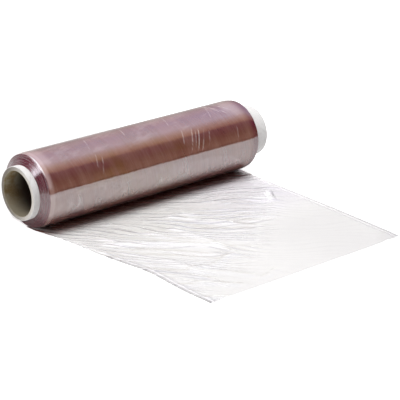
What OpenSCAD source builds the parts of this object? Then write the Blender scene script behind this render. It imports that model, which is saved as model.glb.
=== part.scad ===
// Stretch wrap roll that lies on the floor with its loose end drawn out.
// The roll's axis is Y, the loose end lies towards +X, and +Z is up.
// The origin is on the axis, in the middle of the film's width.

/* [Core tube] */
// Bore of the core tube, two inches
core_bore_d = 50.8; // [40:0.1:60]
// Wall of the core tube
core_wall = 4.5; // [2:0.1:8]
// How far the core stands out past the edge of the film at the near end, on -Y
near_overhang = 12.6; // [9:0.2:60]
// How far the core stands out past the edge of the film at the far end, on +Y
far_overhang = 24.6; // [9:0.2:60]
// Bevel on the outer edge of the core's cut ends
core_bevel = 0.4; // [0.1:0.1:1]

/* [Wound film] */
// Width of the film, twelve inches
film_width = 304.8; // [150:0.1:500]
// Depth of the wound film over the core
film_depth = 12.1; // [8:0.1:40]
// Radius of the rounded edge at each end of the wound film
edge_radius = 1.2; // [0.5:0.1:3]
// Length of the soft shoulder where the turns thin out towards each end
shoulder_length = 9; // [3:0.5:15]
// How far the shoulder falls away
shoulder_drop = 1; // [0.1:0.1:1.5]
// How far the turns next to the core stand out past the outer ones
end_stand = 5; // [0.5:0.1:7]
// Width of one band of turns on the end faces
turn_band = 0.75; // [0.5:0.05:2]
// How far the bands of turns stand out or sit back on the end faces
turn_relief = 0.35; // [0.1:0.05:0.8]

/* [Loose end] */
// Length from below the axis to the front edge
tail_length = 284; // [150:1:600]
// Thickness that the film is drawn with
web = 0.4; // [0.2:0.05:1]
// Height of the tallest folds
fold_height = 2.6; // [0.5:0.1:5]
// Height of the fine wrinkles
wrinkle_height = 0.6; // [0.1:0.1:1.5]
// Distance from one fine wrinkle to the next
wrinkle_pitch = 15; // [12:1:30]
// Rows of points from the roll to the front edge
rows = 42; // [30:1:60]
// Columns of points from the near edge to the far edge
columns = 58; // [30:1:60]

/* [Hidden] */
$fn = 128;

core_r = core_bore_d / 2 + core_wall;
core_length = near_overhang + film_width + far_overhang;
roll_r = core_r + film_depth;
half_width = film_width / 2;
// The wound film sinks this far into the turn that it lies on
sink = web / 4;
floor_z = -(roll_r + sink);
// The loose end starts behind the line of contact and is flat up to here
flat_back = -4;
flat_front = 12;
ramp_length = 22;
// The near edge is curled over, and these columns follow the curl
hem_width = 5;
hem_height = 1.1;
hem_start = 0.32;
hem_columns = 4;
// How quickly the fine wrinkles turn from the far edge to the near edge
wrinkle_fan = 0.6;
// Share of the length over which they fade out
calm_ramp = 0.2;
// Shares of the half width by which the wrinkles draw the two edges in
near_draw = 0.066;
near_waist = 0.04;
near_waist_at = 0.63;
far_tuck = 0.035;
far_draw = 0.12;
// How far the front edge waves
front_wave = 1;

// A bell of height one and half width w, at a distance d from its middle
function bell(d, w) = exp(-pow(d / w, 2));

// Rises smoothly from zero to one while t runs from zero to one
function ease(t) = let (u = min(1, max(0, t))) u * u * (3 - 2 * u);

// Folds of the loose end: start, end, sideways bend, height and half width.
// Starts and ends are shares of the tail's length and of the half width.
folds = [
    [[0.35, -0.77], [0.60, -0.27], 4, 1.0, 4.5],
    [[0.29, -0.10], [0.46, 0.11], -3, 0.7, 4.5],
    [[0.22, 0.40], [0.39, 0.68], 3, 0.6, 5],
    [[0.39, -0.24], [0.69, -0.23], 3, 0.5, 4.5],
    [[0.62, -0.67], [0.73, -0.64], 2, 0.5, 4.5],
    [[0.73, -0.64], [0.72, -0.31], -8, 0.55, 4.5],
    [[0.77, -0.61], [0.90, -0.43], 3, 0.45, 5],
    [[0.83, -0.83], [0.93, -0.61], 4, 0.45, 5],
    [[0.93, -0.25], [0.95, -0.40], 2, 0.35, 4.5],
    [[0.31, 0.81], [0.51, 0.48], 8, 0.6, 9],
    [[0.12, -0.88], [0.32, -0.72], 2, 0.5, 4.5],
    [[0.16, -0.55], [0.40, -0.40], 3, 0.55, 4.5],
    [[0.13, -0.20], [0.30, 0.02], 2, 0.45, 4.5],
    [[0.14, 0.12], [0.30, 0.38], 3, 0.45, 4.5],
    [[0.95, -0.90], [0.99, -0.80], 0, 0.5, 4],
    [[0.95, 0.80], [0.99, 0.72], 0, 0.4, 4],
];

// A place on the tail in millimetres from its shares
function place(s) = [s[0] * tail_length, s[1] * half_width];

// How high a fold stands at a point of the floor
function fold_lift(p, f) =
    let (
        start = place(f[0]),
        run = place(f[1]) - start,
        length = norm(run),
        along = (p - start) * run / (length * length),
        bow = 4 * f[2] * along * (1 - along),
        aside = cross(run, p - start) / length - bow * ease(1 - abs(2 * along - 1)),
        beyond = max(0, -along, along - 1) * length
    )
    f[3] * fold_height * bell(aside, f[4]) * bell(beyond, 2 * f[4]);

function all_folds(p, i = 0) = i == len(folds) ? 0 : fold_lift(p, folds[i]) + all_folds(p, i + 1);

// Fine wrinkles run aslant, at 45 degrees in the middle of the width and more along
// the tail towards the near edge, and they fade out in the far front half
function wrinkles(p) =
    let (
        a = p[0] / tail_length,
        c = p[1] / half_width,
        slant = p[0] + half_width / wrinkle_fan * exp(-wrinkle_fan * c),
        sway = 0.35 * sin(200 * a + 130 * c) + 0.2 * sin(520 * c),
        phase = 360 * (slant / (sqrt(2) * wrinkle_pitch) + sway),
        border = 0.71 - 0.34 * c - 0.17 * c * c,
        calm = ease((a - border) / calm_ramp + 0.5),
        patches = 0.7 + 0.3 * sin(170 * c - 90 * a)
    )
    wrinkle_height * (1 - 0.9 * calm) * patches * (1 + sin(phase)) / 2;

// The near edge lies curled over from about a third of the way out
function hem(a, inset) =
    hem_height * ease(5 * (a - hem_start)) * bell(inset - hem_width / 2, hem_width / 4);

function lift(p, a, inset) =
    ease((p[0] - flat_front) / ramp_length) * (all_folds(p) + wrinkles(p) + hem(a, inset));

// The width is drawn in along the tail, because the wrinkles take some of it up
function near_edge(a) =
    -half_width * (1 - near_draw * (1 - exp(-5 * a)) - near_waist * bell(a - near_waist_at, 0.15));
function far_edge(a) = half_width * (1 - far_tuck * (1 - exp(-12 * a)) - far_draw * pow(a, 1.7));
function front_edge(t) = tail_length - front_wave * (0.9 + 0.6 * sin(300 * t + 40) + 0.3 * sin(750 * t));

// Shares of the way along and across for a row and a column of points
function row_share(i) = i == 0 ? 0 : (i - 1) / (rows - 2);
function column_share(j, width) =
    j < hem_columns
    ? j * hem_width / hem_columns / width
    : hem_width / width + (1 - hem_width / width) * (j - hem_columns) / (columns - 1 - hem_columns);

function tail_point(i, j) =
    let (
        a = row_share(i),
        near = near_edge(a),
        width = far_edge(a) - near,
        t = column_share(j, width),
        y = near + t * width,
        x = i == 0 ? flat_back : flat_front + a * (front_edge(t) - flat_front)
    )
    [x, y, floor_z + (i == 0 ? 0 : lift([x, y], a, t * width))];

// Number of a grid point, where side is 0 for the under side and 1 for the upper side
function corner(i, j, side) = side * rows * columns + i * columns + j;

module loose_end() {
    under = [for (i = [0:rows - 1]) for (j = [0:columns - 1]) tail_point(i, j)];
    over = [for (p = under) p + [0, 0, web]];
    last_row = rows - 1;
    last_column = columns - 1;
    faces = [
        for (i = [0:rows - 2]) for (j = [0:columns - 2]) each [
            [corner(i, j, 0), corner(i + 1, j, 0), corner(i + 1, j + 1, 0)],
            [corner(i, j, 0), corner(i + 1, j + 1, 0), corner(i, j + 1, 0)],
            [corner(i, j, 1), corner(i + 1, j + 1, 1), corner(i + 1, j, 1)],
            [corner(i, j, 1), corner(i, j + 1, 1), corner(i + 1, j + 1, 1)],
        ],
        for (i = [0:rows - 2]) each [
            [corner(i, 0, 0), corner(i, 0, 1), corner(i + 1, 0, 1)],
            [corner(i, 0, 0), corner(i + 1, 0, 1), corner(i + 1, 0, 0)],
            [corner(i, last_column, 0), corner(i + 1, last_column, 1), corner(i, last_column, 1)],
            [corner(i, last_column, 0), corner(i + 1, last_column, 0), corner(i + 1, last_column, 1)],
        ],
        for (j = [0:columns - 2]) each [
            [corner(0, j, 0), corner(0, j + 1, 1), corner(0, j, 1)],
            [corner(0, j, 0), corner(0, j + 1, 0), corner(0, j + 1, 1)],
            [corner(last_row, j, 0), corner(last_row, j, 1), corner(last_row, j + 1, 1)],
            [corner(last_row, j, 0), corner(last_row, j + 1, 1), corner(last_row, j + 1, 0)],
        ],
    ];
    polyhedron(concat(under, over), faces, convexity = 10);
}

// Bands of turns on an end face, from the core out to the rounded edge. They stand out
// further towards the core, and each is a little in front of or behind the next.
edge_r = roll_r - shoulder_drop;
band_count = floor((edge_r - edge_radius - core_r) / turn_band);
function band_out(i) =
    end_stand * (1 - (i + 1) / band_count) + turn_relief * (sin(137 * i) + sin(61 * i + 40)) / 2;
function end_bands(end_y, out) = [
    for (i = [0:band_count - 1]) each [
        [core_r + i * turn_band, end_y + out * band_out(i)],
        [core_r + (i + 1) * turn_band, end_y + out * band_out(i)],
    ],
];

// The rounded edge, then the shoulder up to the full radius of the roll
edge_steps = 6;
function end_shoulder(end_y, out) = [
    [core_r + band_count * turn_band, end_y],
    for (k = [0:edge_steps])
        let (t = 90 * k / edge_steps)
        [edge_r - edge_radius + edge_radius * sin(t), end_y - out * edge_radius * (1 - cos(t))],
    [roll_r - shoulder_drop / 4, end_y - out * (edge_radius + shoulder_length / 2)],
    [roll_r, end_y - out * (edge_radius + shoulder_length)],
];

function backwards(list) = [for (i = [len(list) - 1:-1:0]) list[i]];

// Half section of the wound film, as radius and place along the axis
function wound_section() = concat(
    end_bands(-half_width, -1),
    end_shoulder(-half_width, -1),
    backwards(end_shoulder(half_width, 1)),
    backwards(end_bands(half_width, 1))
);

module wound_turns() {
    rotate([-90, 0, 0]) rotate_extrude() polygon(wound_section());
}

module film() {
    color("rosybrown") {
        wound_turns();
        loose_end();
    }
}

module core_tube() {
    color("lightgray")
        translate([0, -half_width - near_overhang, 0]) rotate([-90, 0, 0]) difference() {
            union() {
                cylinder(h = core_bevel, r1 = core_r - core_bevel, r2 = core_r);
                translate([0, 0, core_bevel]) cylinder(h = core_length - 2 * core_bevel, r = core_r);
                translate([0, 0, core_length - core_bevel])
                    cylinder(h = core_bevel, r1 = core_r, r2 = core_r - core_bevel);
            }
            translate([0, 0, -1]) cylinder(h = core_length + 2, d = core_bore_d);
        }
}

core_tube();
film();
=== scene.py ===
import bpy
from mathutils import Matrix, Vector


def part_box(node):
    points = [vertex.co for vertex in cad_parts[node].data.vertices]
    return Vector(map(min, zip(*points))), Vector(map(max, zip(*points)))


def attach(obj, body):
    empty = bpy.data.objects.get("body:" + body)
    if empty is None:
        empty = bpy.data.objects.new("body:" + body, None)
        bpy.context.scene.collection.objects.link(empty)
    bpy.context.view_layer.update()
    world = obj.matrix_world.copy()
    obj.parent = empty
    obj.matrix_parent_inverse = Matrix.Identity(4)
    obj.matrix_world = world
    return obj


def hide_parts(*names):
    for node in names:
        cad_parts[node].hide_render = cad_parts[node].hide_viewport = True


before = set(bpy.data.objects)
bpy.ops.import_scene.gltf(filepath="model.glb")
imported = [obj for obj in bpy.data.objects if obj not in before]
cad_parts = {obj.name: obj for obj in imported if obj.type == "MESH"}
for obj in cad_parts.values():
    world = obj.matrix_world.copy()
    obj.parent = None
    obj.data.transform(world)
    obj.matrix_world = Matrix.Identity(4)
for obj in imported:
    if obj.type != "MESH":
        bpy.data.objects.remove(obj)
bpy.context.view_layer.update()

import math

import bmesh
import bpy
from mathutils import Euler, Vector, noise

# The roll's axis is Y, the loose end lies towards +X and the floor is level
mm = 0.001
coreLow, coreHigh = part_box("core_tube")
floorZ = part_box("film")[0][2]


# Shader maths on sockets

class Wire:
    # A node's output that can be added, multiplied and so on
    def __init__(self, bench, socket):
        self.bench = bench
        self.socket = socket

    def __add__(self, other):
        return self.bench.calc("ADD", self, other)

    def __sub__(self, other):
        return self.bench.calc("SUBTRACT", self, other)

    def __rsub__(self, other):
        return self.bench.calc("SUBTRACT", other, self)

    def __mul__(self, other):
        return self.bench.calc("MULTIPLY", self, other)

    def __truediv__(self, other):
        return self.bench.calc("DIVIDE", self, other)

    def __pow__(self, other):
        return self.bench.calc("POWER", self, other)

    __radd__ = __add__

    def ease(self, low, high):
        # Rises smoothly from 0 at low to 1 at high
        return self.bench.node("ShaderNodeMapRange", {"interpolation_type": "SMOOTHSTEP"},
                               {"Value": self, "From Min": low, "From Max": high})

    def fall(self, low, high):
        # Falls smoothly from 1 at low to 0 at high
        return 1 - self.ease(low, high)

    def repeat(self):
        # The whole part drops away, so the pattern repeats
        return self.bench.calc("FRACT", self)

    def size(self):
        return self.bench.calc("ABSOLUTE", self)

    def atMost(self, limit):
        return self.bench.calc("MINIMUM", self, limit)


class Bench:
    # The node tree of one material or of the world
    def __init__(self, tree):
        self.tree = tree
        tree.nodes.clear()

    def node(self, kind, settings=None, inputs=None, output=0):
        made = self.tree.nodes.new(kind)
        for name, value in (settings or {}).items():
            setattr(made, name, value)
        for name, value in (inputs or {}).items():
            if isinstance(value, Wire):
                self.tree.links.new(value.socket, made.inputs[name])
            else:
                made.inputs[name].default_value = value
        return Wire(self, made.outputs[output]) if made.outputs else None

    def calc(self, operation, a, b=0.0):
        return self.node("ShaderNodeMath", {"operation": operation}, {0: a, 1: b})

    def mix(self, amount, first, second):
        # Sockets 6 and 7 are the two colours, and output 2 is the mixed one
        first = first if isinstance(first, Wire) else (*first, 1)
        second = second if isinstance(second, Wire) else (*second, 1)
        return self.node("ShaderNodeMix", {"data_type": "RGBA"},
                         {0: amount, 6: first, 7: second}, 2)

    def split(self, vector):
        return [self.node("ShaderNodeSeparateXYZ", None, {0: vector}, k) for k in range(3)]

    def vector(self, x, y, z):
        return self.node("ShaderNodeCombineXYZ", None, {0: x, 1: y, 2: z})

    def axes(self):
        # The object's own X, Y and Z, in metres
        return self.split(self.node("ShaderNodeTexCoord", output=3))

    def stored(self, name):
        # The three numbers that each point carries under this name
        return self.split(self.node("ShaderNodeAttribute", {"attribute_name": name}, output=1))

    def turn(self, x, z):
        # The angle round the roll's axis, from +X upwards
        return self.calc("ARCTAN2", z, x)

    def rays(self):
        # One for what the camera sees directly, and one for what is mirrored
        return [self.node("ShaderNodeLightPath", output=k) for k in (0, 3)]

    def speckle(self, vector, scale, detail, rough, warp=0.0):
        return self.node("ShaderNodeTexNoise", None,
                         {"Vector": vector, "Scale": scale, "Detail": detail,
                          "Roughness": rough, "Distortion": warp})

    def ramp(self, place, stops):
        made = self.node("ShaderNodeValToRGB", None, {0: place})
        elements = made.socket.node.color_ramp.elements
        while len(elements) < len(stops):
            elements.new(0.5)
        for element, (position, colour) in zip(elements, stops):
            element.position = position
            element.color = (*colour, 1)
        return made

    def line(self, value, centre, inner, outer):
        # One within inner of the centre, and none beyond outer
        return (value - centre).size().fall(inner, outer)

    def bump(self, height, strength, distance, under=None):
        inputs = {"Height": height, "Strength": strength, "Distance": distance}
        if under:
            inputs["Normal"] = under
        return self.node("ShaderNodeBump", None, inputs)

    def surface(self, **inputs):
        named = {name.replace("_", " "): value for name, value in inputs.items()}
        skin = self.node("ShaderNodeBsdfPrincipled", None, named)
        self.node("ShaderNodeOutputMaterial", None, {"Surface": skin})


def newFinish(name):
    material = bpy.data.materials.new(name)
    material.use_nodes = True
    return material, Bench(material.node_tree)


# Shaping helpers

def bell(distance, width):
    return math.exp(-(distance / width) ** 2)


def ease(t):
    t = min(1.0, max(0.0, t))
    return t * t * (3 - 2 * t)


def ripple(waves, a, c):
    # A sum of waves, each with its size and its degrees per unit of a and of c
    return sum(size * math.sin(math.radians(perA * a + perC * c)) for size, perA, perC in waves)


def addObject(name, data):
    made = bpy.data.objects.new(name, data)
    bpy.context.scene.collection.objects.link(made)
    return made


def meshFrom(name, form, material):
    mesh = bpy.data.meshes.new(name)
    form.to_mesh(mesh)
    form.free()
    mesh.materials.append(material)
    return mesh


def finishPiece(name, form, material, node):
    mesh = meshFrom(name, form, material)
    for face in mesh.polygons:
        face.use_smooth = True
    piece = addObject(name, mesh)
    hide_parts(node)
    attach(piece, "root")
    print(name, len(mesh.polygons), "faces")
    return piece


def spinOutline(outline, steps):
    # Turns a closed outline of (radius, place along the axis) once round Y
    form = bmesh.new()
    corners = [form.verts.new((radius, along, 0)) for radius, along in outline]
    edges = [form.edges.new((corners[k - 1], corners[k])) for k in range(len(corners))]
    bmesh.ops.spin(form, geom=corners + edges, cent=(0, 0, 0), axis=(0, 1, 0),
                   angle=math.tau, steps=steps, use_merge=True)
    bmesh.ops.remove_doubles(form, verts=form.verts, dist=1e-6)
    bmesh.ops.recalc_face_normals(form, faces=form.faces)
    return form


def stretch(start, end, step):
    # Places from start to end, about a step apart, without the last one
    count = max(1, round(abs(end - start) / step))
    return [start + (end - start) * k / count for k in range(count)]


def sink(point, depth):
    # Moves a point of a round piece towards the axis
    shrink = 1 - depth / math.hypot(point.co.x, point.co.z)
    point.co.x *= shrink
    point.co.z *= shrink


# The core tube

core = {
    "outerRadius": 29.9 * mm,
    "boreRadius": 25.4 * mm,
    "bevel": 0.4 * mm,
    "faceStep": 2 * mm,          # width of the end face's inner ring of faces
    "stripPitch": 118 * mm,      # advance of the paper strip in one turn
    "seamDepth": 0.18 * mm,
    "seamWidth": 0.9 * mm,
    "seamShare": 0.012,          # half width of the seam's dark line, in turns
    "plyPitch": 0.45 * mm,
    "steps": 144,
    "alongStep": 2 * mm,
    # Scale, detail and roughness of the paper's noises
    "fibres": (900, 5, 0.7),
    "blotches": (55, 4, 0.6),
    "specks": (300, 2, 0.5),
    "paper": (0.88, 0.87, 0.86),
    "paperShade": (0.70, 0.68, 0.67),
    "kraft": (0.46, 0.41, 0.29),
    "kraftBrown": (0.30, 0.20, 0.08),
    "kraftLitBelow": (0.70, 0.62, 0.47),
    "kraftSeamAndShade": (0.03, 0.014, 0.008),
    "litBelowRise": 20 * mm,         # painted light makes the bore pale this far below its middle
    "shadeDepth": 29 * mm,       # and painted shade makes it dark this far in
    "cut": (0.82, 0.78, 0.74),
    "cutShade": (0.25, 0.22, 0.19),
    "cutFade": (-20 * mm, 22 * mm),
    "roughness": 0.86,
    "reliefDepth": 0.25 * mm,
}


def coreFinish():
    material, bench = newFinish("coreBoard")
    x, y, z = bench.axes()
    radius = (x * x + z * z) ** 0.5
    place = bench.vector(x, y, z)
    # The strip's edge runs round the tube as a screw line
    seam = (y / core["stripPitch"] - bench.turn(x, z) / math.tau).repeat()
    seamLine = bench.line(seam, 0.5, 0.0, core["seamShare"])
    fibres = bench.speckle(place, *core["fibres"])
    blotches = bench.speckle(place, *core["blotches"])
    specks = bench.speckle(place, *core["specks"])
    inside = radius.fall(core["boreRadius"] + 0.1 * mm, core["boreRadius"] + 0.5 * mm)
    outside = radius.ease(core["outerRadius"] - 0.7 * mm, core["outerRadius"] - 0.35 * mm)
    # Depth is the distance from the nearer end
    middle = (coreLow[1] + coreHigh[1]) / 2
    depth = coreHigh[1] - middle - (y - middle).size()
    # Brown blotches, spread further in with depth as painted shade
    brown = (blotches + depth * 3).ease(0.5, 0.68)
    # Painted light: the bore's lower wall is paler near the mouth
    pale = (0 - z - depth * 0.5).ease(0, core["litBelowRise"]) * 0.8
    kraft = bench.mix(brown, core["kraft"], core["kraftBrown"])
    kraft = bench.mix(fibres.ease(0.45, 0.75) * 0.3, kraft, core["cut"])
    # The seam's real dark line; the same colour below is painted shade
    kraft = bench.mix(seamLine * 0.6, kraft, core["kraftSeamAndShade"])
    kraft = bench.mix(pale, kraft, core["kraftLitBelow"])
    # Painted shade darkens the bore deeper in from each end
    kraft = bench.mix(depth.ease(2 * mm, core["shadeDepth"]), kraft, core["kraftSeamAndShade"])
    grey = fibres.ease(0.4, 0.8) * 0.5 + specks.ease(0.5, 0.7) * 0.3
    paper = bench.mix(grey, core["paper"], core["paperShade"])
    paper = bench.mix(seamLine * 0.45, paper, core["paperShade"])
    # The cut ends show the plies as fine rings
    plies = (radius / core["plyPitch"]).repeat().ease(0.0, 0.5) * 0.15
    cut = bench.mix(plies + fibres.ease(0.4, 0.7) * 0.15, core["cut"], core["kraft"])
    # Painted shade darkens the cut ends towards -X
    cut = bench.mix(x.fall(*core["cutFade"]), cut, core["cutShade"])
    colour = bench.mix(outside, bench.mix(inside, cut, kraft), paper)
    relief = fibres * 0.6 + blotches * 0.4 - seamLine * 1.5
    bench.surface(Base_Color=colour, Roughness=core["roughness"], IOR=1.45,
                  Normal=bench.bump(relief, 0.35, core["reliefDepth"]))
    return material


def makeCore():
    near, far = coreLow[1], coreHigh[1]
    outer, bore, bevel = core["outerRadius"], core["boreRadius"], core["bevel"]
    face = bore + core["faceStep"]
    corner = 0.3 * bevel
    middle = stretch(near + bevel, far - bevel, core["alongStep"])
    outline = [(bore, near), (face, near), (outer - bevel, near), (outer - corner, near + corner)]
    outline += [(outer, along) for along in middle]
    outline += [(outer - corner, far - corner), (outer - bevel, far), (face, far), (bore, far)]
    outline += [(bore, along) for along in reversed(middle)]
    form = spinOutline(outline, core["steps"])
    for point in form.verts:
        if math.hypot(point.co.x, point.co.z) > outer - 0.5 * bevel:
            angle = math.atan2(point.co.z, point.co.x)
            turn = (point.co.y / core["stripPitch"] - angle / math.tau + 0.5) % 1 - 0.5
            aside = turn * core["stripPitch"]
            sink(point, core["seamDepth"] * bell(aside, core["seamWidth"]))
    finishPiece("coreTube", form, coreFinish(), "core_tube")


# The wound film

roll = {
    "radius": 42 * mm,
    "halfWidth": 152.4 * mm,
    "edgeRadius": 1.2 * mm,
    "shoulderLength": 9 * mm,
    "shoulderDrop": 1 * mm,
    "shoulderSteps": 8,
    "endStand": 5 * mm,          # the end face stands out this far at the core
    "turnBand": 0.375 * mm,
    "turnRelief": 0.2 * mm,
    "steps": 192,
    "alongStep": 1.5 * mm,
    # The lines that run round the roll, a little aslant
    "lineDepth": 0.06 * mm,
    "linePitch": 3.2 * mm,
    "lineLength": 45 * mm,
    "lineSlant": 0.22,
    # Noises drawn out round the roll: scales across it and round it, then size, detail,
    # roughness and warp
    "lines": (1000, 22, 0.55, 4, 0.62, 0.15),
    "hazes": (60, 14, 1.0, 3, 0.5),
    # Noises by the angle: scale round the roll, layer, detail and roughness
    "browns": (1.5, 5, 2, 0.5),
    "brownScale": 12,
    "smudges": (2.2, 8, 3, 0.6),
    "smudgeScale": 26,
    "smudgeLean": 1.2,
    "smudgeStrength": 0.24,
    "rings": (0.8, 2, 3, 0.6),
    "ringScale": 1500,
    "body": (0.18, 0.05, 0.045),
    "bodyBrown": (0.20, 0.075, 0.035),
    "bodyLight": (0.25, 0.105, 0.085),
    "bodyEdge": (0.13, 0.02, 0.035),
    "bodyBottomShade": (0.10, 0.015, 0.02),
    "streak": (0.55, 0.42, 0.40),
    "paleSheen": (0.62, 0.42, 0.40),
    "crestHighlight": (1.0, 0.95, 0.97),
    "roughness": 0.07,
    "ior": 2.0,
    # Bands round the roll as centre, inner and outer half width. The first three count
    # from the near end, and the last one from the middle.
    "hoopPlace": (3.6 * mm, 1.3 * mm, 4.4 * mm),
    "topHoopPlace": (8 * mm, 2 * mm, 12 * mm),
    "crestPlace": (1.0 * mm, 0.3 * mm, 1.1 * mm),
    "hazePlace": (120 * mm, 8 * mm, 32 * mm),
    # Where two of them lie on the round, in radians
    "crestTurn": (1.05, 0.15, 0.5),
    "hazeTurn": (1.35, 0.15, 0.6),
    "farRimShade": (15 * mm, 3 * mm),     # painted shade darkens the film between these distances from its far edge
    "lowFade": (-34 * mm, -16 * mm),
    "brownFade": (0, 90 * mm),
    "markWidth": (0.2 * mm, 1.3 * mm),
    # Lines drawn across the turns: place, lean per radian, low and high angle, strength
    "marks": [
        (34, 12, 28, 52, 0.7), (44, 17, 14, 50, 1.0), (50, 16, 20, 46, 0.6),
        (54, 17, 14, 52, 1.2), (60, 19, 12, 44, 0.8), (71, 15, 16, 40, 0.5),
        (-90, 12, 28, 52, 0.6), (-83, 13, 18, 44, 0.6), (118, 8, 12, 36, 0.4),
        (150, -28, 62, 98, 1.2), (161, -28, 66, 100, 1.0), (139, -22, 64, 96, 0.8),
        (-40, 10, 70, 98, 0.5), (20, 12, 66, 98, 0.5), (78, 16, 60, 90, 0.5),
        (-95, 12, 60, 88, 0.5),
    ],
}


def rollMarks(bench, y, angle):
    marks = 0
    for place, lean, low, high, strength in roll["marks"]:
        middle = math.radians((low + high) / 2)
        span = math.radians(high - low)
        across = bench.line(y - angle * (lean * mm), place * mm, *roll["markWidth"])
        marks = marks + across * bench.line(angle, middle, 0.3 * span, 0.6 * span) * strength
    return marks


def rollFinish():
    material, bench = newFinish("woundFilm")
    x, y, z = bench.axes()
    angle = bench.turn(x, z)
    radius = (x * x + z * z) ** 0.5
    aslant = y + z * roll["lineSlant"]

    def drawnOut(across, around, *settings):
        return bench.speckle(bench.vector(aslant * across, x * around, z * around), *settings)

    def byAngle(place, around, layer, detail, rough):
        return bench.speckle(bench.vector(place, angle * around, layer), 1, detail, rough)

    lines = drawnOut(*roll["lines"])
    hazes = drawnOut(*roll["hazes"])
    brown = byAngle(y * roll["brownScale"], *roll["browns"]).ease(0.42, 0.58)
    smudges = byAngle(y * roll["smudgeScale"] - angle * roll["smudgeLean"], *roll["smudges"])
    rings = byAngle(radius * roll["ringScale"], *roll["rings"])
    streaks = bench.line(lines, 0.5, 0.0, 0.035)
    marks = rollMarks(bench, y, angle)
    end = roll["halfWidth"]
    fromNear = y + end
    face = y.size().ease(end - 1.2 * mm, end - 0.4 * mm)
    # Painted shade darkens the bottom of the end faces
    low = face * z.fall(*roll["lowFade"])
    # A painted sheen lies next to the near end as a pale ring, wider and softer on top,
    # with a painted highlight as a bright line on the rounded edge
    paleSheen = bench.line(fromNear, *roll["hoopPlace"]) * 0.35
    paleSheen = paleSheen + bench.line(fromNear, *roll["topHoopPlace"]) * angle.ease(0.6, 1.2) * 0.5
    crestHighlight = bench.line(fromNear, *roll["crestPlace"]) * bench.line(angle, *roll["crestTurn"]) * 0.9
    # Painted shade of the far edge's rounding
    farRimShade = y.ease(*(end - inset for inset in roll["farRimShade"]))
    farHaze = bench.line(y, *roll["hazePlace"]) * bench.line(angle, *roll["hazeTurn"])
    pale = streaks * 0.09 + farHaze * hazes.ease(0.3, 0.6) * 0.5
    smudge = smudges.ease(0.48, 0.66) * angle.ease(0.7, 1.0) * roll["smudgeStrength"]
    colour = bench.mix(brown * y.fall(*roll["brownFade"]), roll["body"], roll["bodyBrown"])
    for amount, name in [
        (hazes.ease(0.35, 0.7), "bodyLight"),
        (smudge, "streak"),
        (pale, "streak"),
        (paleSheen, "paleSheen"),
        (farRimShade, "bodyEdge"),
        (marks * lines.ease(0.35, 0.6), "streak"),
        (face, "bodyEdge"),
        # Pale lines of turns on the end face, painted as their sheen
        (face * rings.ease(0.5, 0.7) * 0.3, "paleSheen"),
        (low * 0.8, "bodyBottomShade"),
        (crestHighlight, "crestHighlight"),
    ]:
        colour = bench.mix(amount, colour, roll[name])
    # The mirror image is weaker at the edges and where the film is hazy
    coat = 1 - face * rings.ease(0.42, 0.58) * 0.6 - farRimShade * 0.6 - low * 0.7
    coat = coat - (hazes.ease(0.35, 0.65) + lines.ease(0.42, 0.58) * 0.7) * 0.22
    relief = bench.bump(lines * 0.7 + streaks * 0.3 + marks * 0.8, 0.16, 0.14 * mm)
    bench.surface(Base_Color=colour, Roughness=hazes * 0.06 + roll["roughness"] - 0.03,
                  IOR=roll["ior"], Coat_Weight=coat, Coat_Roughness=0.05,
                  Coat_IOR=roll["ior"], Normal=bench.bump(rings * face, 0.8, 0.45 * mm, relief))
    return material


def endBands(out):
    # Bands of turns on an end face, from the core outwards, each at its own height.
    # They stand out further towards the core.
    edge = roll["radius"] - roll["shoulderDrop"] - roll["edgeRadius"]
    places = stretch(core["outerRadius"], edge, roll["turnBand"])
    outline = []
    for number, radius in enumerate(places):
        height = roll["endStand"] * (1 - (number + 1) / len(places))
        height += roll["turnRelief"] * (math.sin(2.4 * number) + math.sin(1.07 * number)) / 2
        along = out * (roll["halfWidth"] + height)
        outline.append((radius, along))
        outline.append((radius + 0.8 * roll["turnBand"], along))
    return outline


def endShoulder(out):
    # The small round edge of the end face, then the slope up to the full radius
    end = out * roll["halfWidth"]
    edge = roll["radius"] - roll["shoulderDrop"]
    small = roll["edgeRadius"]
    steps = roll["shoulderSteps"]
    outline = []
    for step in range(steps + 1):
        turn = math.pi / 2 * step / steps
        along = end - out * small * (1 - math.cos(turn))
        outline.append((edge - small + small * math.sin(turn), along))
    for step in range(1, steps + 1):
        share = step / steps
        rise = roll["shoulderDrop"] * math.sin(math.pi / 2 * share)
        outline.append((edge + rise, end - out * (small + roll["shoulderLength"] * share)))
    return outline


def makeRoll():
    full = roll["radius"]
    inner = roll["halfWidth"] - roll["edgeRadius"] - roll["shoulderLength"]
    outline = endBands(-1) + endShoulder(-1)
    outline += [(full, along) for along in stretch(-inner, inner, roll["alongStep"])[1:]]
    outline += endShoulder(1)[::-1] + endBands(1)[::-1]
    form = spinOutline(outline, roll["steps"])
    for point in form.verts:
        if math.hypot(point.co.x, point.co.z) < full - 0.1 * mm:
            continue
        aslant = point.co.y + roll["lineSlant"] * point.co.z
        around = point.co.x / roll["lineLength"], point.co.z / roll["lineLength"]
        ridge = max(0.0, 1 - 4 * abs(noise.noise(Vector((aslant / roll["linePitch"], *around)))))
        sink(point, roll["lineDepth"] * (1 - ridge))
    finishPiece("woundFilm", form, rollFinish(), "film")


# The loose end

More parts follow.
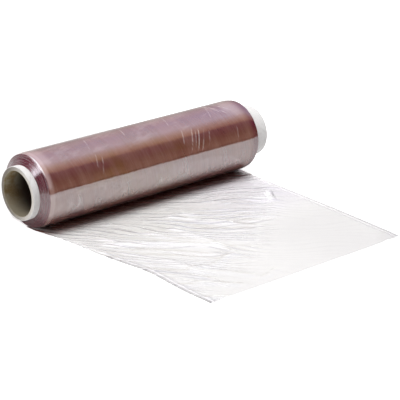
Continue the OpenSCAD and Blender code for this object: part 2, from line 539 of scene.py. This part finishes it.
tail = {
    "length": 284 * mm,
    "flatBack": -4 * mm,
    "flatFront": 12 * mm,
    "rampLength": 22 * mm,
    "rows": 250,
    "columns": 270,
    "sheetLift": 0.1 * mm,
    # The near edge is curled back over itself further out. The curl's upper layer and its
    # radius are in millimetres, each with its growth.
    "hemColumns": 30,
    "curlStart": 0.32,
    "curlPace": 5,
    "hemWidth": (1.0, 3.6),
    "curlRadius": (0.12, 0.42),
    "curlRun": 4.8 * mm,         # the hem's columns reach this far past the curl
    "hemCalm": 14 * mm,          # the web is smooth next to the curl
    "foldHeight": 2.6 * mm,
    "wrinkleHeight": 0.6 * mm,
    "wrinklePitch": 15 * mm,
    "wrinkleFan": 0.6,
    "wrinkleSway": [(0.35, 200, 130), (0.2, 0, 520)],
    "wrinklePatches": [(0.3, -90, 170)],
    "calmBorder": (0.71, -0.34, -0.17),
    "calmRamp": 0.2,
    # Fine creases. Noise scales are across the creases and along them.
    "grainHeight": 0.6 * mm,
    "grainPitch": 9.6 * mm,
    "grainWidth": 0.17,
    "grainWander": 2.0,
    "wanderScale": (16, 8),
    "strengthScale": (45, 7),
    "nearDraw": 0.066,
    "nearWaist": 0.04,
    "nearWaistAt": 0.63,
    "nearWaistWidth": 0.15,
    "farTuck": 0.035,
    "farDraw": 0.12,
    "frontWave": 1 * mm,
    "frontRipple": [(0.6, 300, 40), (0.3, 750, 0)],
    # One longer crease: its middle, the way across it, and its half lengths
    "pinchX": 103 * mm,
    "pinchY": 115 * mm,
    "pinchWay": (0.57, 0.82),
    "pinchLength": (8 * mm, 21 * mm),
    # Lines of a crease as shares of its pitch: centre, inner and outer half width
    "whiteLine": (0.41, 0.03, 0.14),
    "greyLine": (0.58, 0.03, 0.12),
    "fineWhite": (0.4, 0.0, 0.2),
    "fineGrey": (0.63, 0.0, 0.18),
    "finePace": (1.9, 30),       # fine creases for each main one, and for each metre of Y
    "patchScale": (0.45, 9),
    # Where things come and go, from the roll to the front or from the near side to the far one
    "softFade": (120 * mm, 230 * mm),
    "clearFade": (60 * mm, 160 * mm),
    "farFadeX": (120 * mm, 200 * mm),
    "farFadeY": (-30 * mm, 80 * mm),
    "lilacFadeX": (90 * mm, 165 * mm),
    "lilacFadeY": (-20 * mm, 110 * mm),
    "farCorner": 45 * mm,
    "nearCorner": 26 * mm,
    "rimFade": (40 * mm, 80 * mm),
    "curlFade": (85 * mm, 130 * mm),
    "contactFade": (12 * mm, 46 * mm),
    "clear": (0.56, 0.55, 0.52),
    "clearNear": (0.46, 0.45, 0.425),
    "clearFar": (0.415, 0.405, 0.38),
    "reflectedLilac": (0.47, 0.43, 0.5),
    "grey": (0.24, 0.24, 0.25),
    "white": (1.0, 1.0, 1.0),
    "rollShadowBrown": (0.30, 0.075, 0.05),
    "ior": 2.0,
}

# Start, end, sideways bend, height and half width of each fold. Starts and ends are shares
# of the length and of the half width, heights are shares of foldHeight, and bends and
# widths are in millimetres.
tailFolds = [
    ((0.35, -0.77), (0.60, -0.27), 4, 1.0, 4.5),
    ((0.29, -0.10), (0.46, 0.11), -3, 0.7, 4.5),
    ((0.22, 0.40), (0.39, 0.68), 3, 0.6, 5),
    ((0.39, -0.24), (0.69, -0.23), 3, 0.5, 4.5),
    ((0.62, -0.67), (0.73, -0.64), 2, 0.5, 4.5),
    ((0.73, -0.64), (0.72, -0.31), -8, 0.55, 4.5),
    ((0.77, -0.61), (0.90, -0.43), 3, 0.45, 5),
    ((0.83, -0.83), (0.93, -0.61), 4, 0.45, 5),
    ((0.93, -0.25), (0.95, -0.40), 2, 0.35, 4.5),
    ((0.31, 0.81), (0.51, 0.48), 8, 0.6, 9),
    ((0.12, -0.88), (0.32, -0.72), 2, 0.5, 4.5),
    ((0.16, -0.55), (0.40, -0.40), 3, 0.55, 4.5),
    ((0.13, -0.20), (0.30, 0.02), 2, 0.45, 4.5),
    ((0.14, 0.12), (0.30, 0.38), 3, 0.45, 4.5),
    ((0.95, -0.90), (0.99, -0.80), 0, 0.5, 4),
    ((0.95, 0.80), (0.99, 0.72), 0, 0.4, 4),
]


def foldLift(x, y, fold):
    start, end, bend, height, width = fold
    startX = start[0] * tail["length"]
    startY = start[1] * roll["halfWidth"]
    runX = end[0] * tail["length"] - startX
    runY = end[1] * roll["halfWidth"] - startY
    length = math.hypot(runX, runY)
    along = ((x - startX) * runX + (y - startY) * runY) / length ** 2
    bow = 4 * bend * mm * along * (1 - along)
    aside = (runX * (y - startY) - runY * (x - startX)) / length
    aside -= bow * ease(1 - abs(2 * along - 1))
    beyond = max(0.0, -along, along - 1) * length
    return height * tail["foldHeight"] * bell(aside, width * mm) * bell(beyond, 2 * width * mm)


def calmness(a, c):
    # One where the film lies smooth, in the far front half
    level, slope, curve = tail["calmBorder"]
    border = level + slope * c + curve * c * c
    return ease((a - border) / tail["calmRamp"] + 0.5)


def fanPlace(x, c):
    # How far across the fan of wrinkles, and how far along it
    fan = tail["wrinkleFan"]
    reach = roll["halfWidth"] / fan
    return x + reach * math.exp(-fan * c), x + reach * math.exp(fan * c)


def wrinkleLift(x, a, c):
    slant = fanPlace(x, c)[0]
    turns = slant / (math.sqrt(2) * tail["wrinklePitch"]) + ripple(tail["wrinkleSway"], a, c)
    patches = 0.7 + ripple(tail["wrinklePatches"], a, c)
    lift = patches * (1 + math.sin(math.tau * turns)) / 2
    return tail["wrinkleHeight"] * (1 - 0.9 * calmness(a, c)) * lift


def creaseAt(x, a, c):
    # The count of fine creases passed, how strong they are here and how high the film lifts
    slant, along = fanPlace(x, c)
    across, down = tail["wanderScale"]
    wander = noise.noise(Vector((slant * across, along * down, 3)))
    phase = slant / (math.sqrt(2) * tail["grainPitch"]) + tail["grainWander"] * wander
    across, down = tail["strengthScale"]
    strength = ease(0.65 + 1.4 * noise.noise(Vector((slant * across, along * down, 7))))
    strength *= 1 - 0.9 * calmness(a, c)
    return phase, strength, strength * bell(phase % 1 - 0.5, tail["grainWidth"])


def curlPlace(past, curl):
    # Inset from the edge and lift, for a place along the web counted from the curl's middle
    bend = math.pi / 2 * curl
    if past < -bend:
        return curl - past - bend, 2 * curl
    if past < bend:
        return curl - curl * math.cos(past / curl), curl - curl * math.sin(past / curl)
    return curl + past - bend, 0.0


def tailPoint(u, column):
    length, front, half = tail["length"], tail["flatFront"], roll["halfWidth"]
    x = tail["flatBack"] + u * (length - tail["flatBack"])
    a = min(1.0, max(0.0, (x - front) / (length - front)))
    # Both edges draw in towards the front
    waist = tail["nearWaist"] * bell(a - tail["nearWaistAt"], tail["nearWaistWidth"])
    near = -half * (1 - tail["nearDraw"] * (1 - math.exp(-5 * a)) - waist)
    far = half * (1 - tail["farTuck"] * (1 - math.exp(-12 * a)) - tail["farDraw"] * a ** 1.7)
    width = far - near
    grow = ease(tail["curlPace"] * (a - tail["curlStart"]))
    hem, curl = [(start + growth * grow) * mm
                 for start, growth in (tail["hemWidth"], tail["curlRadius"])]
    past, count = tail["curlRun"], tail["hemColumns"]
    if column < count:
        run = column * (hem + past) / count
    else:
        run = hem + past + (column - count) / (tail["columns"] - count) * (width - past)
    inset, lift = curlPlace(run - hem, curl)
    y = near + min(inset, width)
    wave = 0.9 + ripple(tail["frontRipple"], min(1.0, inset / width), 1)
    x -= a ** 6 * tail["frontWave"] * wave
    c = y / half
    phase, strength, fine = creaseAt(x, a, c)
    rise = wrinkleLift(x, a, c) + tail["grainHeight"] * fine
    rise += sum(foldLift(x, y, fold) for fold in tailFolds)
    rise *= ease((x - front) / tail["rampLength"])
    rise *= 1 - 0.8 * grow * (1 - ease(inset / tail["hemCalm"]))
    web = Vector((phase, strength, 1 - calmness(a, c)))
    rims = Vector((inset, width - inset, length - x))
    return Vector((x, y, floorZ + tail["sheetLift"] + rise + lift)), web, rims


def tailFinish():
    material, bench = newFinish("looseFilm")
    phase, strength, busy = bench.stored("webPlace")
    fromNear, fromFar, fromFront = bench.stored("rimPlace")
    x, y = bench.axes()[:2]
    # Each crease is a painted highlight, a white line, with a painted shade, a grey line, on its
    # outer side
    part = phase.repeat()
    byCount, byPlace = tail["finePace"]
    finePart = (phase * byCount + y * byPlace).repeat()
    byCount, byPlace = tail["patchScale"]
    patches = bench.speckle(bench.vector(phase * byCount, x * byPlace, y * byPlace), 1, 2, 0.5)
    faint = busy * patches.ease(0.42, 0.6) * 0.6
    soft = strength * (1 - x.ease(*tail["softFade"]) * 0.45)
    creaseHighlights = bench.line(part, *tail["whiteLine"]) * soft
    creaseHighlights = creaseHighlights + bench.line(finePart, *tail["fineWhite"]) * faint
    creaseShades = bench.line(part, *tail["greyLine"]) * soft * 1.15
    creaseShades = creaseShades + bench.line(finePart, *tail["fineGrey"]) * faint

    def edgeLines(rows):
        # Each row: distance from an edge, then centre, inner and outer in mm, and strength
        return sum(bench.line(distance, centre * mm, inner * mm, outer * mm) * strong
                   for distance, centre, inner, outer, strong in rows)

    # The outer edges are thin lines, doubled along the curled near one, whose outer line is partly
    # a painted shadow of the curl
    curled = x.ease(*tail["curlFade"])
    shown = x.ease(*tail["rimFade"])
    rim = edgeLines([
        (fromFar, 1.2, 0.5, 2.2, shown * 0.7),
        (fromFar, 7, 0.3, 1.6, shown * 0.3),
        (fromNear, 1.0, 0.8, 3.0, curled * 0.32 + 0.15),
        (fromNear, 8, 0.5, 2.2, curled * 0.35),
        (fromFront, 0.8, 0.5, 1.6, 0.15),
    ])
    # Painted highlights as pale bands inside the curled hem and the far edge
    band = edgeLines([
        (fromNear, 4.6, 1.2, 2.6, curled),
        (fromFar, 4.2, 0.5, 1.6, 0.5),
    ])
    # Painted shade darkens the crumpled front corners a little
    rim = rim + (fromFar + fromFront).fall(0, tail["farCorner"]) * 0.35
    rim = rim + (fromNear + fromFront).fall(0, tail["nearCorner"]) * 0.3
    shade = (creaseShades + rim).atMost(1)
    shine = (creaseHighlights + band).atMost(1)
    # One longer crease crosses the others at the far edge, painted as a shade line beside a
    # highlight line
    wayX, wayY = tail["pinchWay"]
    pastX, pastY = x - tail["pinchX"], y - tail["pinchY"]
    aside = pastX * wayX + pastY * wayY
    pinch = bench.line(pastX * wayY - pastY * wayX, 0, *tail["pinchLength"])
    shade = (shade + bench.line(aside, 1 * mm, 0.4 * mm, 2.2 * mm) * pinch).atMost(1)
    shine = (shine + bench.line(aside, -4 * mm, 1.2 * mm, 3.6 * mm) * pinch).atMost(1)
    # Painted shadow and reflection of the roll, dark brown, next to it
    contact = x.fall(*tail["contactFade"])
    farther = y.ease(*tail["farFadeY"]) * x.ease(*tail["farFadeX"])
    # Painted reflection of the roll tints the film lilac on its far side near the roll
    rollReflectionTint = y.ease(*tail["lilacFadeY"]) * x.fall(*tail["lilacFadeX"])
    # The film is painted darker towards the roll as painted shade and reflection of the roll
    colour = bench.mix(x.ease(*tail["clearFade"]), tail["clearNear"], tail["clear"])
    for amount, name in [(farther, "clearFar"), (rollReflectionTint, "reflectedLilac"), (shade, "grey"),
                         (shine, "white"), (contact, "rollShadowBrown")]:
        colour = bench.mix(amount, colour, tail[name])
    relief = bench.line(part, 0.5, 0.0, 0.3) * soft
    relief = relief + bench.line(finePart, 0.5, 0.0, 0.35) * faint * 0.5
    bench.surface(Base_Color=colour, Roughness=0.1, IOR=tail["ior"],
                  Coat_Weight=fromNear.ease(2 * mm, 4 * mm), Coat_Roughness=0.06,
                  Coat_IOR=tail["ior"],
                  Alpha=shade * 0.3 + shine * 0.35 + contact * 0.35 + 0.5,
                  Normal=bench.bump(relief, 0.7, 0.5 * mm))
    return material


def makeTail():
    rows, columns = tail["rows"], tail["columns"]
    form = bmesh.new()
    webs = form.verts.layers.float_vector.new("webPlace")
    rims = form.verts.layers.float_vector.new("rimPlace")
    bmesh.ops.create_grid(form, x_segments=rows, y_segments=columns, size=1)
    for point in form.verts:
        u = (point.co.x + 1) / 2
        column = round((point.co.y + 1) / 2 * columns)
        point.co, point[webs], point[rims] = tailPoint(u, column)
    piece = finishPiece("looseEnd", form, tailFinish(), "film")
    # Clear film hardly shades the floor, and the roll mirrors the floor through it
    piece.visible_shadow = False
    piece.visible_glossy = False


# Floor, light and camera

studio = {
    "floorSize": 12,
    "floorColour": (0.9, 0.9, 0.9),
    "floorMirrored": (0.3, 0.18, 0.1),   # beyond the sheet
    "floorGlow": 0.15,
    "floorSeen": 0.7,
    "floorShine": 0.08,
    "sheetReach": (0.62, 0.67),          # the white sheet is mirrored up to here
    "sheetFade": (0, 0.2),
    # Distances from the roll's axis and along it within which the floor doesn't glow
    "contactAcross": (30 * mm, 75 * mm),
    "contactAlong": (132 * mm, 154 * mm),
    "mirroredAlong": (165 * mm, 230 * mm),
    "keyWay": (56, 80),                  # azimuth from +X and elevation
    "keyDistance": 1.6,
    "keySize": 1.0,
    "keyPower": 21,
    "skyForLight": 0.42,
    "nearSkyForLight": 0.75,             # towards -Y, where the roll's end faces
    "skyStrength": 1.1,
    "edgeSky": (2.2, 2.0, 2.1),          # mirrored by the roll's edge and shoulder
    "edgeSkyFrom": (-0.2, -0.05),
    "edgeSkyTo": (0.08, 0.36),
    "edgeSkyRise": (0.1, 0.3),
    "endFade": (-0.4, -0.2),             # where the near end's colours give way to the roll's
    # Colours that the near end mirrors, across the highlight on it
    "endWay": (-0.705, 0.424, 0.567),
    "endBands": [
        (0.28, (0.10, 0.03, 0.04)),
        (0.44, (0.12, 0.04, 0.06)),
        (0.48, (4.2, 3.9, 4.3)),
        (0.55, (4.4, 4.2, 4.5)),
        (0.59, (1.4, 1.2, 1.3)),
        (0.66, (0.5, 0.1, 0.16)),
        (0.76, (0.10, 0.03, 0.05)),
    ],
    # Colours that the roll mirrors, by turn round its axis, from +X up and over to -X
    "skyBands": [
        (0.0, (0.34, 0.2, 0.12)),
        (0.14, (0.09, 0.06, 0.02)),
        (0.2, (0.03, 0.02, 0.02)),
        (0.29, (0.05, 0.03, 0.06)),
        (0.33, (0.5, 0.31, 0.23)),
        (0.4, (0.76, 0.58, 0.53)),
        (0.5, (1.0, 0.95, 1.15)),
        (0.66, (0.7, 0.68, 0.92)),
        (0.78, (0.64, 0.57, 0.68)),
        (0.9, (0.44, 0.41, 0.42)),
        (1.0, (0.55, 0.54, 0.54)),
    ],
}


def floorFinish():
    material, bench = newFinish("floorPaint")
    x, y = bench.axes()[:2]
    seen, glossy = bench.rays()
    # Under the roll the floor doesn't glow, so that the line of contact stays dark
    besideRoll = y.size().ease(*studio["contactAlong"])
    near = x.size().fall(*studio["contactAcross"])
    lit = 1 - near * (1 - besideRoll)
    mirrored = 1 - near * y.size().fall(*studio["mirroredAlong"])
    away = ((x * x + y * y) ** 0.5).ease(*studio["sheetReach"]) * x.ease(*studio["sheetFade"])
    colour = bench.mix(away * glossy, studio["floorColour"], studio["floorMirrored"])
    strength = besideRoll * seen * studio["floorSeen"] + glossy * studio["floorShine"]
    paint = bench.node("ShaderNodeBsdfDiffuse", None, {"Color": colour})
    glow = bench.node("ShaderNodeEmission", None, {"Strength": strength + studio["floorGlow"]})
    both = bench.node("ShaderNodeAddShader", None, {0: paint, 1: glow})
    glowing = seen * lit + glossy * (1 - away) * mirrored
    shown = bench.node("ShaderNodeMixShader", None, {0: glowing, 1: paint, 2: both})
    bench.node("ShaderNodeOutputMaterial", None, {"Surface": shown})
    return material


def makeFloor():
    form = bmesh.new()
    bmesh.ops.create_grid(form, x_segments=1, y_segments=1, size=studio["floorSize"])
    bmesh.ops.translate(form, verts=form.verts, vec=(0, 0, floorZ))
    floor = addObject("studioFloor", meshFrom("studioFloor", form, floorFinish()))


def makeSky():
    world = bpy.data.worlds.new("studioSky")
    world.use_nodes = True
    bpy.context.scene.world = world
    bench = Bench(world.node_tree)
    x, y, z = bench.split(bench.node("ShaderNodeTexCoord", output=0))
    turn = bench.turn(x, z) / math.pi
    bands = bench.ramp(turn, studio["skyBands"])
    edges = y.ease(*studio["edgeSkyFrom"]) * y.fall(*studio["edgeSkyTo"])
    bands = bench.mix(edges * z.ease(*studio["edgeSkyRise"]), bands, studio["edgeSky"])
    across = sum(axis * part for axis, part in zip((x, y, z), studio["endWay"])) * 0.5 + 0.5
    bands = bench.mix(y.ease(*studio["endFade"]), bench.ramp(across, studio["endBands"]), bands)
    plain = turn.ease(0.2, 0.45) * studio["skyForLight"]
    plain = plain + (0 - y).ease(0.3, 0.9) * studio["nearSkyForLight"]
    plain = bench.vector(plain, plain, plain)
    # The bands are only mirrored, the plain sky only lights, and the camera sees white
    seen, glossy = bench.rays()
    colour = bench.mix(glossy, plain, bands)
    colour = bench.mix(seen, colour, (1, 1, 1))
    strength = 1 + glossy * (studio["skyStrength"] - 1)
    sky = bench.node("ShaderNodeBackground", None, {"Color": colour, "Strength": strength})
    bench.node("ShaderNodeOutputWorld", None, {"Surface": sky})


def makeLamp():
    light = bpy.data.lights.new("keyLamp", "AREA")
    light.shape = "DISK"
    light.energy = studio["keyPower"]
    light.size = studio["keySize"]
    lamp = addObject("keyLamp", light)
    azimuth, elevation = [math.radians(angle) for angle in studio["keyWay"]]
    level = math.cos(elevation)
    way = Vector((level * math.cos(azimuth), level * math.sin(azimuth), math.sin(elevation)))
    lamp.location = way * studio["keyDistance"]
    lamp.rotation_euler = way.to_track_quat("Z", "Y").to_euler()
    # The sky's bands are what the film mirrors
    lamp.visible_glossy = False


view = {
    "place": (1.34894, -1.10784, 0.58745),
    "heading": 138.24,           # degrees from +X towards +Y
    "pitch": -19.99,
    "lens": 146.2,
    "sensor": 36,
    "reach": 60,
}


def makeCamera():
    camera = bpy.data.cameras.new("photoCamera")
    camera.lens = view["lens"]
    camera.sensor_width = view["sensor"]
    camera.clip_end = view["reach"]
    eye = addObject("photoCamera", camera)
    eye.location = view["place"]
    tilt, heading = math.radians(90 + view["pitch"]), math.radians(view["heading"] - 90)
    eye.rotation_euler = Euler((tilt, 0, heading))
    bpy.context.scene.camera = eye


makeCamera()
makeFloor()
makeSky()
makeLamp()
print("studio ready")
makeCore()
makeRoll()
makeTail()

settings = bpy.context.scene.view_settings
settings.view_transform = "Standard"
